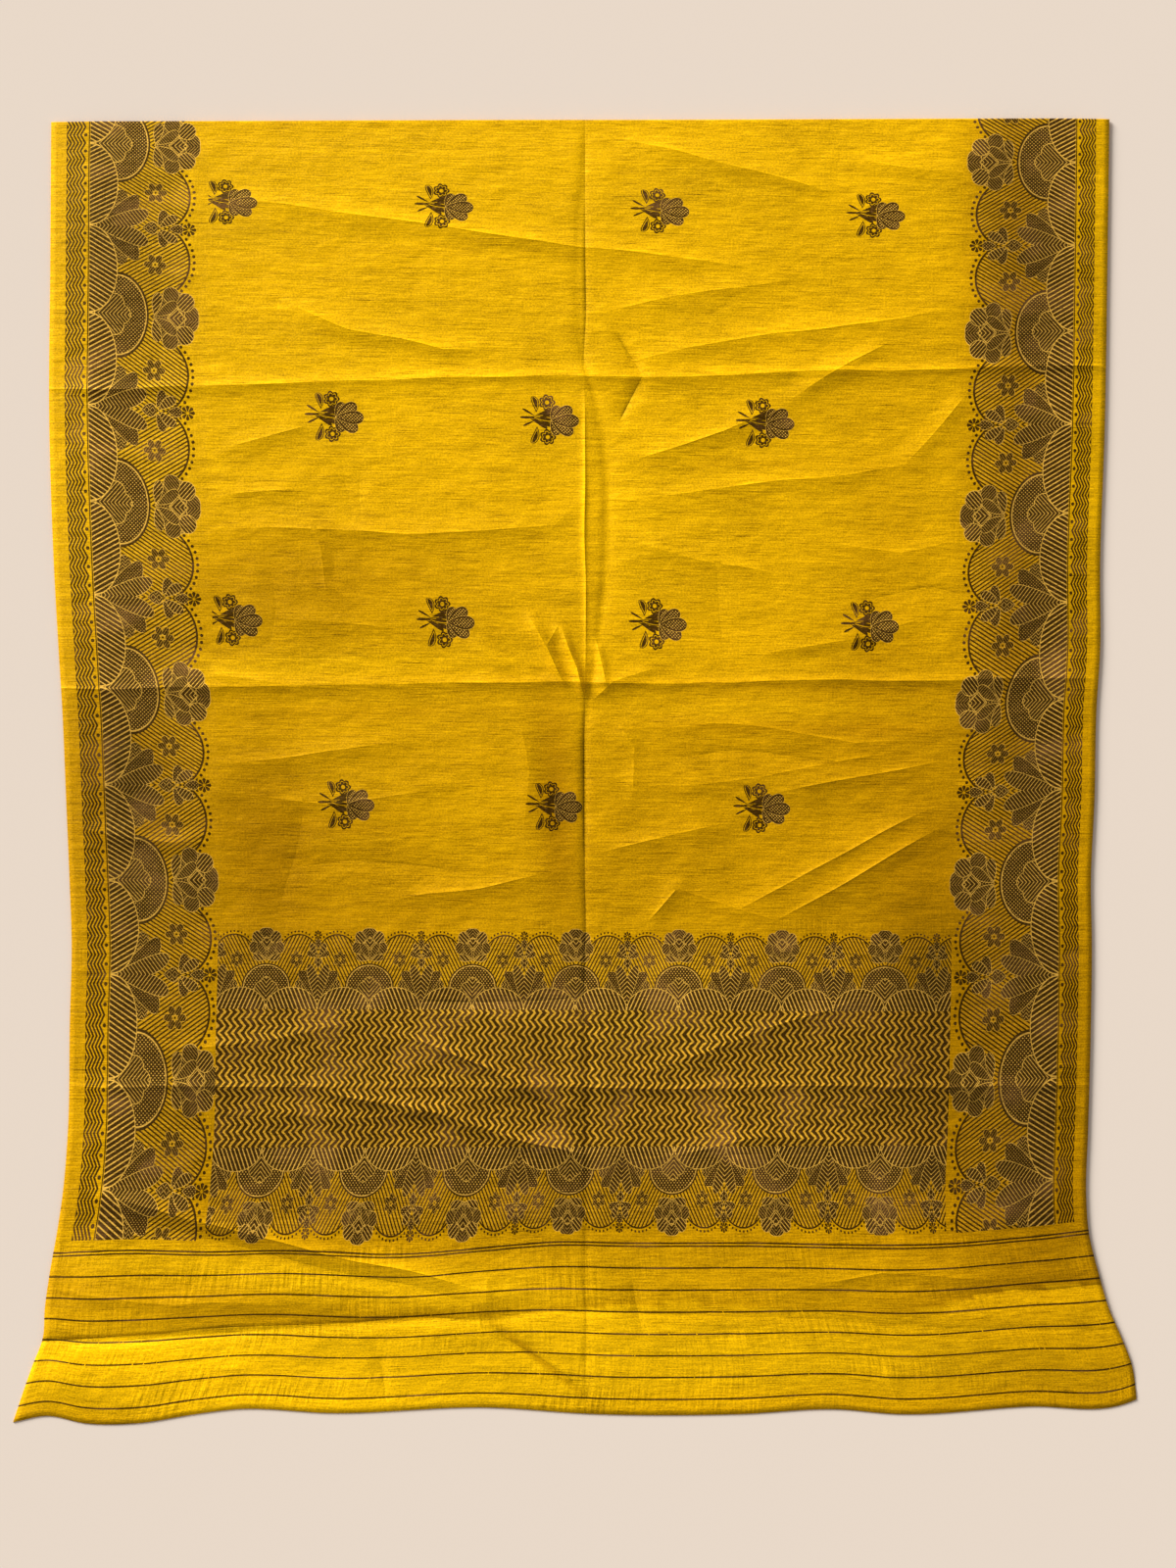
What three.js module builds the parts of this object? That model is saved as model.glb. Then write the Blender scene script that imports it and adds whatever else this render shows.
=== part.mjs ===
// A handloom silk saree laid flat. Its end stretch is spread face up, and the rest of its length
// lies folded in three layers beneath. Millimetres, with +X across the cloth to the right, +Y towards
// the back fold, +Z up, and the origin under the middle of the footprint on the surface it lies on.
import * as THREE from 'three';

// Cloth walls and layers
const WALL = 1.2;
const HEM_WALL = 2.0;
const HEM_DEPTH = 14;
const GAP = 0.3;
const LAYER = 2.0;
const NOSE = LAYER / 2;

// Hidden layers, from the lowest to the highest: how far each lies inside the spread stretch's
// outline at the sides and at the back, and inside its lower fold at the front
const HIDDEN_LAYERS = [
  { side: 10, back: 4, front: 8 },
  { side: 12, back: 6, front: 11 },
  { side: 9, back: WALL + GAP, front: 5 },
];
const STACK_TOP = LAYER * HIDDEN_LAYERS.length;
const STACK_CORNER = 7;
const CORNER_ANGLES = [0, 30, 60, 90];
const NOSE_ANGLES = [-90, -45, 0, 45, 90];
const SIDE_STEP = 60;
const END_STEP = 80;

// Outline of the spread stretch: a row for each section across it, from the back to the free end
const SECTIONS = [
  { y: 701, left: -564, right: 576 },
  { y: 551, left: -565, right: 574 },
  { y: 370, left: -566, right: 571 },
  { y: 219, left: -561, right: 566 },
  { y: 130, left: -556, right: 566 },
  { y: 65, left: -552, right: 562 },
  { y: -28, left: -548, right: 560 },
  { y: -123, left: -544, right: 556 },
  { y: -180, left: -542, right: 557 },
  { y: -274, left: -544, right: 556 },
  { y: -387, left: -546, right: 553 },
  { y: -458, left: -552, right: 551 },
  { y: -498, left: -558, right: 554 },
  { y: -543, left: -566, right: 565 },
  { y: -580, left: -571, right: 576 },
  { y: -610, left: -573, right: 589 },
  { y: -642, left: -585, right: 601 },
  { y: -670, left: -595, right: 605 },
  { y: -703, left: -606, right: 606 },
];

// Free end, from left to right
const FREE_END = [
  { x: -606, y: -702 },
  { x: -569, y: -695 },
  { x: -528, y: -703 },
  { x: -472, y: -703 },
  { x: -408, y: -693 },
  { x: -367, y: -688 },
  { x: -261, y: -692 },
  { x: -94, y: -686 },
  { x: 23, y: -693 },
  { x: 178, y: -693 },
  { x: 284, y: -688 },
  { x: 346, y: -693 },
  { x: 488, y: -685 },
  { x: 596, y: -681 },
  { x: 606, y: -677 },
];

// Folds across the cloth, left by its storage: where each crosses the left edge, the middle and the
// right edge, how high it stands, and how many rows of cells lie between it and the one before
const CROSS_FOLDS = [
  { name: 'back', left: 699.7, middle: 701.3, right: 702.9, rise: 0, cells: 0 },
  { name: 'upper', left: 411, middle: 424, right: 436, rise: 3.4, cells: 8 },
  { name: 'centre', left: 89, middle: 95, right: 100, rise: 3.2, cells: 9 },
  { name: 'pallu', left: -339, middle: -340, right: -338, rise: 2.4, cells: 11 },
  { name: 'lower', left: -614, middle: -582, right: -602, rise: 0.9, cells: 7 },
];
const END_CELLS = 3;
const FOLD_FLANK = 9;
const FOLD_WIDTH = 9;

// The fold along the middle of the cloth: its place, and its rise in each panel between cross folds
const MIDDLE_X = 11;
const MIDDLE_RISE = [
  { y: 702, rise: -1.7 },
  { y: 440, rise: -1.7 },
  { y: 408, rise: 2.8 },
  { y: 112, rise: 2.8 },
  { y: 78, rise: -1.6 },
  { y: -300, rise: -1.2 },
  { y: -703, rise: -0.8 },
];

// Long soft wrinkles between the folds, each from one end to the other
const WRINKLES = [
  { name: 'left upper', x1: -317, y1: 521, x2: -105, y2: 450, rise: 2.6, width: 20 },
  { name: 'left lower', x1: -382, y1: 253, x2: 8, y2: 250, rise: 2.2, width: 20 },
  { name: 'left centre', x1: -340, y1: 167, x2: -152, y2: 152, rise: 1.8, width: 18 },
  { name: 'left pallu', x1: -199, y1: -142, x2: -22, y2: -105, rise: 2.2, width: 20 },
  { name: 'top right', x1: 27, y1: 687, x2: 299, y2: 615, rise: 2.0, width: 20 },
  { name: 'right upper', x1: 205, y1: 470, x2: 428, y2: 505, rise: 2.2, width: 20 },
  { name: 'right lower', x1: 227, y1: 396, x2: 348, y2: 468, rise: 2.2, width: 18 },
  { name: 'right middle', x1: 46, y1: 252, x2: 226, y2: 207, rise: 1.8, width: 20 },
  { name: 'right pallu', x1: 205, y1: -146, x2: 416, y2: -2, rise: 2.6, width: 20 },
  { name: 'pallu middle', x1: 68, y1: -327, x2: 226, y2: -271, rise: 1.8, width: 20 },
  { name: 'lower left', x1: -498, y1: -459, x2: -176, y2: -540, rise: 2.4, width: 20 },
  { name: 'end middle', x1: -89, y1: -594, x2: 12, y2: -673, rise: 1.8, width: 16 },
];

// Looseness of the panels between folds, and how the cloth leaves the layers it lies on
const LOFT = 1.8;
const LOFT_FADE = 30;
const WRINKLE_FADE = 0.2;
const DROP_RUN = 42;
const SIDE_DROOP = 2.6;
const WIDTH_CELLS = 32;
const TURN_ANGLES = [-40, 0, 45, 90];

const SILK = { color: 0xe2b60c, roughness: 0.42, metalness: 0.0 };
const SILK_BENEATH = { color: 0xcf9f08, roughness: 0.5, metalness: 0.0 };

const ease = (value) => {
  const t = Math.min(1, Math.max(0, value));
  return t * t * (3 - 2 * t);
};
const blend = (a, b, t) => a + (b - a) * t;

// A column of a table at a place between its rows, along a smooth curve through them
function between(rows, key, column, place) {
  const falling = rows[0][key] > rows[rows.length - 1][key];
  const sign = falling ? -1 : 1;
  const last = rows.length - 2;
  let i = 0;
  while (i < last && sign * place > sign * rows[i + 1][key]) i += 1;
  const [p0, p1] = [rows[Math.max(0, i - 1)], rows[i]];
  const [p2, p3] = [rows[i + 1], rows[Math.min(rows.length - 1, i + 2)]];
  const span = p2[key] - p1[key];
  const t = Math.min(1, Math.max(0, (place - p1[key]) / span));
  const slope1 = ((p2[column] - p0[column]) / (p2[key] - p0[key])) * span;
  const slope2 = ((p3[column] - p1[column]) / (p3[key] - p1[key])) * span;
  const t2 = t * t;
  const t3 = t2 * t;
  return (
    (2 * t3 - 3 * t2 + 1) * p1[column] + (t3 - 2 * t2 + t) * slope1 +
    (3 * t2 - 2 * t3) * p2[column] + (t3 - t2) * slope2
  );
}

const leftEdge = (y) => between(SECTIONS, 'y', 'left', y);
const rightEdge = (y) => between(SECTIONS, 'y', 'right', y);
const freeEnd = (x) => between(FREE_END, 'x', 'y', x);

// Where a cross fold lies, at a share of the way across the cloth
function foldLine(fold, across) {
  if (across < 0.5) return blend(fold.left, fold.middle, ease(across * 2));
  return blend(fold.middle, fold.right, ease(across * 2 - 1));
}

const backLine = (across) => foldLine(CROSS_FOLDS[0], across);
const lowerLine = (across) => foldLine(CROSS_FOLDS[CROSS_FOLDS.length - 1], across);
const placeAcross = (y, across) => blend(leftEdge(y), rightEdge(y), across);
const shareAcross = (x, y) => (x - leftEdge(y)) / (rightEdge(y) - leftEdge(y));

// How far a point lies from a wrinkle's line, and where along it, from 0 to 1 at its ends
function fromWrinkle(wrinkle, x, y) {
  const [dx, dy] = [wrinkle.x2 - wrinkle.x1, wrinkle.y2 - wrinkle.y1];
  const along = ((x - wrinkle.x1) * dx + (y - wrinkle.y1) * dy) / (dx * dx + dy * dy);
  const away = Math.abs((x - wrinkle.x1) * dy - (y - wrinkle.y1) * dx) / Math.hypot(dx, dy);
  return { along, away };
}

// How far the cloth stands off what it lies on
function lift(x, y, across) {
  let height = LOFT;
  for (const fold of CROSS_FOLDS) {
    height += fold.rise * Math.exp(-Math.abs(y - foldLine(fold, across)) / FOLD_WIDTH);
  }
  const middleRise = between(MIDDLE_RISE, 'y', 'rise', y);
  height += middleRise * Math.exp(-Math.abs(x - MIDDLE_X) / FOLD_WIDTH);
  for (const wrinkle of WRINKLES) {
    const { along, away } = fromWrinkle(wrinkle, x, y);
    const ends = ease(along / WRINKLE_FADE) * ease((1 - along) / WRINKLE_FADE);
    height += wrinkle.rise * ends * Math.exp(-((away / wrinkle.width) ** 2));
  }
  const fromBack = backLine(across) - y;
  const fromFront = y - freeEnd(x);
  const fromSide = Math.min(x - leftEdge(y), rightEdge(y) - x);
  const nearest = Math.min(fromBack, fromFront, fromSide);
  return Math.max(0, height * ease(nearest / LOFT_FADE));
}

// Height of what the cloth lies on: the layers, and past them the surface
function ground(x, y) {
  const top = HIDDEN_LAYERS[HIDDEN_LAYERS.length - 1];
  const pastFront = ease((lowerLine(shareAcross(x, y)) - y) / DROP_RUN);
  const fromSide = Math.min(x - leftEdge(y), rightEdge(y) - x);
  const droop = SIDE_DROOP * ease((top.side - fromSide) / top.side);
  return (STACK_TOP + GAP - droop) * (1 - pastFront);
}

// Shares of the way across at which the grid has a line
function acrossLines() {
  const width = rightEdge(0) - leftEdge(0);
  const middle = (MIDDLE_X - leftEdge(0)) / width;
  const side = HIDDEN_LAYERS[HIDDEN_LAYERS.length - 1].side / width;
  const flank = FOLD_FLANK / width;
  const half = WIDTH_CELLS / 2;
  const lines = [0, side / 2];
  for (let i = 0; i < half; i += 1) lines.push(blend(side, middle - flank, i / half));
  lines.push(middle - flank, middle);
  for (let i = 0; i < half; i += 1) lines.push(blend(middle + flank, 1 - side, i / half));
  lines.push(1 - side, 1 - side / 2, 1);
  return lines;
}

// Rows of the grid from the back to the free end, each a function of the share across
function alongLines() {
  const lines = [];
  const turn = NOSE + GAP + WALL;
  const start = (across) => backLine(across) - turn;
  lines.push(start);
  CROSS_FOLDS.slice(1).forEach((fold, index) => {
    const before = index === 0 ? start : (a) => foldLine(CROSS_FOLDS[index], a) - FOLD_FLANK;
    const after = (a) => foldLine(fold, a) + FOLD_FLANK;
    for (let i = 1; i <= fold.cells; i += 1) {
      lines.push((a) => blend(before(a), after(a), i / fold.cells));
    }
    lines.push((a) => foldLine(fold, a), (a) => foldLine(fold, a) - FOLD_FLANK);
  });
  const end = (a) => freeEnd(placeAcross(SECTIONS[SECTIONS.length - 1].y, a));
  for (let i = 1; i <= END_CELLS; i += 1) {
    lines.push((a) => blend(lowerLine(a) - FOLD_FLANK, end(a) + HEM_DEPTH, i / END_CELLS));
  }
  lines.push(end);
  return lines;
}

// A closed wall between two grids of points with the same rows and columns
function wallGeometry(outer, inner) {
  const rows = outer.length;
  const columns = outer[0].length;
  const positions = [...outer.flat(), ...inner.flat()].flatMap((p) => [p.x, p.y, p.z]);
  const at = (side, row, column) => side * rows * columns + row * columns + column;
  const index = [];
  const quad = (a, b, c, d) => index.push(a, b, c, a, c, d);
  for (let r = 0; r < rows - 1; r += 1) {
    for (let c = 0; c < columns - 1; c += 1) {
      quad(at(0, r, c), at(0, r + 1, c), at(0, r + 1, c + 1), at(0, r, c + 1));
      quad(at(1, r, c), at(1, r, c + 1), at(1, r + 1, c + 1), at(1, r + 1, c));
    }
  }
  for (let c = 0; c < columns - 1; c += 1) {
    quad(at(0, 0, c), at(0, 0, c + 1), at(1, 0, c + 1), at(1, 0, c));
    quad(at(0, rows - 1, c + 1), at(0, rows - 1, c), at(1, rows - 1, c), at(1, rows - 1, c + 1));
  }
  for (let r = 0; r < rows - 1; r += 1) {
    quad(at(0, r + 1, 0), at(0, r, 0), at(1, r, 0), at(1, r + 1, 0));
    quad(at(0, r, columns - 1), at(0, r + 1, columns - 1), at(1, r + 1, columns - 1), at(1, r, columns - 1));
  }
  return indexedGeometry(positions, index);
}

function indexedGeometry(positions, index) {
  const geometry = new THREE.BufferGeometry();
  geometry.setAttribute('position', new THREE.Float32BufferAttribute(positions, 3));
  geometry.setIndex(index);
  geometry.computeVertexNormals();
  return geometry;
}

// The stretch that shows, from its turn-down behind the back fold to the hem
function spreadStretch() {
  const outer = [];
  const inner = [];
  const across = acrossLines();
  const turnInner = NOSE + GAP;
  const turnOuter = turnInner + WALL;
  for (const degrees of TURN_ANGLES.slice(0, -1)) {
    const angle = THREE.MathUtils.degToRad(degrees);
    const ring = (radius) => across.map((share) => {
      const edgeY = backLine(share);
      const droop = STACK_TOP + GAP - ground(placeAcross(edgeY, share), edgeY);
      const y = edgeY - turnOuter + radius * Math.cos(angle);
      const z = STACK_TOP - NOSE - droop + radius * Math.sin(angle);
      return new THREE.Vector3(placeAcross(edgeY, share), y, z);
    });
    outer.push(ring(turnOuter));
    inner.push(ring(turnInner));
  }
  for (const line of alongLines()) {
    const below = across.map((share) => {
      const y = line(share);
      const x = placeAcross(y, share);
      return new THREE.Vector3(x, y, ground(x, y) + lift(x, y, share));
    });
    inner.push(below);
    outer.push(below.map((p) => {
      const wall = blend(HEM_WALL, WALL, ease((p.y - freeEnd(p.x)) / HEM_DEPTH - 1));
      return new THREE.Vector3(p.x, p.y, p.z + wall);
    }));
  }
  return wallGeometry(outer, inner);
}

// One level of a hidden layer's outline, drawn in from its own edges by an extra inset
function layerOutline(layer, inset) {
  const points = [];
  const side = layer.side + inset;
  const corner = STACK_CORNER;
  const leftAt = (y) => leftEdge(y) + side;
  const rightAt = (y) => rightEdge(y) - side;
  const back = (x) => backLine(shareAcross(x, backLine(0))) - layer.back - inset;
  const front = (x) => lowerLine(shareAcross(x, lowerLine(0))) + layer.front + inset;
  const rows = Math.round((back(0) - front(0) - 2 * corner) / SIDE_STEP);
  const columns = Math.round((rightAt(0) - leftAt(0)) / END_STEP);
  const bend = (cx, cy, startDegrees) => {
    for (const step of CORNER_ANGLES) {
      const angle = THREE.MathUtils.degToRad(startDegrees + step);
      points.push(new THREE.Vector2(cx + corner * Math.cos(angle), cy + corner * Math.sin(angle)));
    }
  };
  const sideRun = (edge, from, to) => {
    for (let i = 1; i < rows; i += 1) {
      const y = blend(from, to, i / rows);
      points.push(new THREE.Vector2(edge(y), y));
    }
  };
  const endRun = (edge, from, to) => {
    for (let i = 1; i < columns; i += 1) {
      const x = blend(from, to, i / columns);
      points.push(new THREE.Vector2(x, edge(x)));
    }
  };
  // The middle of a corner's arc, for the edges that meet there
  const middleOf = (edge, end, sideways, upwards) => {
    const y = end(edge(end(0))) + upwards * corner;
    return { x: edge(y) + sideways * corner, y };
  };
  const backRight = middleOf(rightAt, back, -1, -1);
  const backLeft = middleOf(leftAt, back, 1, -1);
  const frontLeft = middleOf(leftAt, front, 1, 1);
  const frontRight = middleOf(rightAt, front, -1, 1);
  bend(backRight.x, backRight.y, 0);
  endRun(back, backRight.x, backLeft.x);
  bend(backLeft.x, backLeft.y, 90);
  sideRun(leftAt, backLeft.y, frontLeft.y);
  bend(frontLeft.x, frontLeft.y, 180);
  endRun(front, frontLeft.x, frontRight.x);
  bend(frontRight.x, frontRight.y, 270);
  sideRun(rightAt, frontRight.y, backRight.y);
  return points;
}

// The hidden length: layers with round noses, one above the other in one solid
function foldedLayers() {
  const rings = [];
  HIDDEN_LAYERS.forEach((layer, index) => {
    const centre = (index + 0.5) * LAYER;
    for (const degrees of NOSE_ANGLES) {
      const angle = THREE.MathUtils.degToRad(degrees);
      const inset = NOSE * (1 - Math.cos(angle));
      const z = centre + NOSE * Math.sin(angle);
      const above = HIDDEN_LAYERS[index + 1];
      if (degrees === 90 && above) continue;
      rings.push(layerOutline(layer, inset).map((p) => new THREE.Vector3(p.x, p.y, z)));
    }
  });
  const count = rings[0].length;
  const positions = rings.flat().flatMap((p) => [p.x, p.y, p.z]);
  const index = [];
  for (let r = 0; r < rings.length - 1; r += 1) {
    for (let i = 0; i < count; i += 1) {
      const next = (i + 1) % count;
      const [a, b] = [r * count + i, r * count + next];
      const [c, d] = [b + count, a + count];
      index.push(a, b, c, a, c, d);
    }
  }
  const cap = (ring, start, flip) => {
    const flat = ring.map((p) => new THREE.Vector2(p.x, p.y));
    for (const [a, b, c] of THREE.ShapeUtils.triangulateShape(flat, [])) {
      if (flip) index.push(start + a, start + c, start + b);
      else index.push(start + a, start + b, start + c);
    }
  };
  cap(rings[0], 0, true);
  cap(rings[rings.length - 1], (rings.length - 1) * count, false);
  return indexedGeometry(positions, index);
}

function namedMesh(name, geometry, material) {
  const mesh = new THREE.Mesh(geometry, new THREE.MeshStandardMaterial(material));
  mesh.name = name;
  return mesh;
}

const saree = new THREE.Group();
saree.name = 'saree';
saree.add(namedMesh('spread_stretch', spreadStretch(), SILK));
saree.add(namedMesh('folded_layers', foldedLayers(), SILK_BENEATH));

export default saree;
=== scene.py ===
import math

import bpy
import numpy as np
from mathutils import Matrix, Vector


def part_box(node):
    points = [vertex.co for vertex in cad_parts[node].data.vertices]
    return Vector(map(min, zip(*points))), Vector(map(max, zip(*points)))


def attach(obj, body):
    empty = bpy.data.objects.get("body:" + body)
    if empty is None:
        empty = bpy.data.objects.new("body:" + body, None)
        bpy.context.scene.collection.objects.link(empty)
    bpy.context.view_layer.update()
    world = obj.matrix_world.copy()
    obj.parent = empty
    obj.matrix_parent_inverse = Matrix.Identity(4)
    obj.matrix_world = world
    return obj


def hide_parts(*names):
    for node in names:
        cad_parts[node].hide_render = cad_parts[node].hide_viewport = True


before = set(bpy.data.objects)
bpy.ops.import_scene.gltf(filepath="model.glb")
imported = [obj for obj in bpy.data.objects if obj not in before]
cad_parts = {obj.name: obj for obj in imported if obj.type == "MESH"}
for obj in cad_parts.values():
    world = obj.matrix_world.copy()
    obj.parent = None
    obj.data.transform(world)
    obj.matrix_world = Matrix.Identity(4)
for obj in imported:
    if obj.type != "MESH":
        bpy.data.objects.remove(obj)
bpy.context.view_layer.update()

MM = 0.001
FAR = 1e9
STACK_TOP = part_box("folded_layers")[1][2] / MM
GAP = 0.3

# Heights of the hidden layers' middles, from the top one down, how far each stays in from the
# spread stretch's outline, at the sides, the back and the front, how uneven each is, and where the
# hidden length starts in the weave
LAYER_HEIGHTS = (4.4, 2.3, 0.2)
LAYER_SIDES = (9, 12, 10)
LAYER_UNEVEN = (0.5, 0.25, 0)
HIDDEN_START = -28

# Steps of the turns from layer to layer, in degrees, how far the one behind the back fold stays
# inside the outline, and its least radius
BACK_TURN = (-90, -65, -40, -15, 10, 35, 60)
LAYER_TURN = (60, 30, 0, -30, -60)
BACK_CLEARANCE = 0.2
LEAST_TURN = 0.3
BACK_INSETS = (1.4, 5)
FRONT_INSETS = (6, 9)

# The camera looks straight down, and its picture is 1200 by 1600 pixels
PICTURE_LONG_SIDE = 1.691
CAMERA_PLACE = (0.0143, -0.0137, 3)
SENSOR = 36

# The cloth as woven, in millimetres: across from the left selvedge, along from the first dome
CLOTH_WIDTH = 1140
CLOTH_THICKNESS = 0.36
HEM_THICKNESS = 1.1
HEM_DEPTH = 14
HEM_STEP = 3
HALF_REPEAT = 100
BROCADE_END = 1141
DOUBLE_LINE = 1150
WEAVE_END = 1336
END_FIRST_LINE = 27
END_PITCH = 23.7

# The band of chevrons between two brocade bands, and how far they reach across
PALLU_MIDDLE = 997
PALLU_HALF = 148
CHEVRON_HALF = 64
PALLU_BAND = 79
PALLU_DOME = 216.5
PALLU_REPEAT = 114.3
PALLU_LEFT = 158.8
PALLU_RIGHT = 981

# Small bouquets: the first one across and the count in each kind of row, their pitch, then each
# row's place along and its kind, for the rows that show and the hidden ones before them
BOUQUET_FIRST = (196, 310)
BOUQUETS_ACROSS = (4, 3)
BOUQUET_PITCH = 228
BOUQUET_ROWS = [(65, 0), (300, 1), (520, 0), (718, 1)]
HIDDEN_STEP = 218
HIDDEN_COUNT = 18
HIDDEN_ROWS = [(65 - HIDDEN_STEP * i, i % 2) for i in range(1, HIDDEN_COUNT + 1)]
BOUQUET_REACH = 40
NO_BOUQUET = 500

# Outline of the spread stretch: a row for each section across it, from the back to the free end
SECTIONS = [
    # y, left, right
    (701, -564, 576), (551, -565, 574), (370, -566, 571), (219, -561, 566), (130, -556, 566),
    (65, -552, 562), (-28, -548, 560), (-123, -544, 556), (-180, -542, 557), (-274, -544, 556),
    (-387, -546, 553), (-458, -552, 551), (-498, -558, 554), (-543, -566, 565), (-580, -571, 576),
    (-610, -573, 589), (-642, -585, 601), (-670, -595, 605), (-703, -606, 606),
]

# Free end, from left to right
FREE_END = [
    # x, y
    (-606, -702), (-569, -695), (-528, -703), (-472, -703), (-408, -693), (-367, -688),
    (-261, -692), (-94, -686), (23, -693), (178, -693), (284, -688), (346, -693), (488, -685),
    (596, -681), (606, -677),
]

# The woven double line across the free end, from left to right
END_LINE = [
    # x, y
    (-561, -519), (-478, -515), (-394, -517), (-308, -515), (-178, -519), (-94, -512),
    (-20, -506), (57, -507), (178, -507), (403, -508), (488, -501), (554, -494),
]
END_LINE_REACH = 600

# Weft lines half a border repeat apart: where each lies at the borders' outer and inner edges
WEFT_LINES = [
    # left outer, left inner, right inner, right outer
    (676, 672, 655, 655), (588, 582, 565, 566), (494, 486, 471, 474), (394, 385, 372, 374),
    (291, 283, 274, 278), (190, 185, 177, 182), (91, 81, 73, 78), (-14, -15, -23, -19),
    (-117, -117, -122, -118), (-218, -219, -222, -219), (-331, -333, -335, -329),
    (-449, -452, -446, -439),
]

# How far the borders' outer and inner lines lie from the edges as laid, and as woven
LEFT_OUTER, LEFT_INNER = 43.9, 150
RIGHT_OUTER, RIGHT_INNER = 37, 141.6
WOVEN_OUTER, WOVEN_INNER = 45, 153.8

# Folds across the cloth, left by its storage: where each crosses the left edge, the middle and the
# right edge, and its rise
CROSS_FOLDS = [
    # left, middle, right, rise
    (411, 424, 436, 3.4), (89, 95, 100, 3.2), (-339, -340, -338, 3.2), (-614, -582, -602, -1.2),
]
FRONT_FOLD = CROSS_FOLDS[-1]
BACK_FOLD = (699.7, 701.3, 702.9)
FOLD_WIDTH = 8

# The fold along the middle is a trough with a steep left side, and a thin crease line beside it:
# how high the trough rises at each place along the cloth, how far right of the line it lies, and
# how high the line itself rises
MIDDLE_X = 11
MIDDLE_WIDTHS = (4, 9)
MIDDLE_FOLD = [
    # y, rise, shift, line
    (702, -1.7, 0, -1.7), (440, -1.7, 0, -1.7), (408, -2.3, 9, 2.7), (112, -2.3, 9, 2.7),
    (78, -2, 4, -1.6), (-300, -1.9, 4, -1.5), (-703, -1.2, 0, -1),
]

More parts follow.
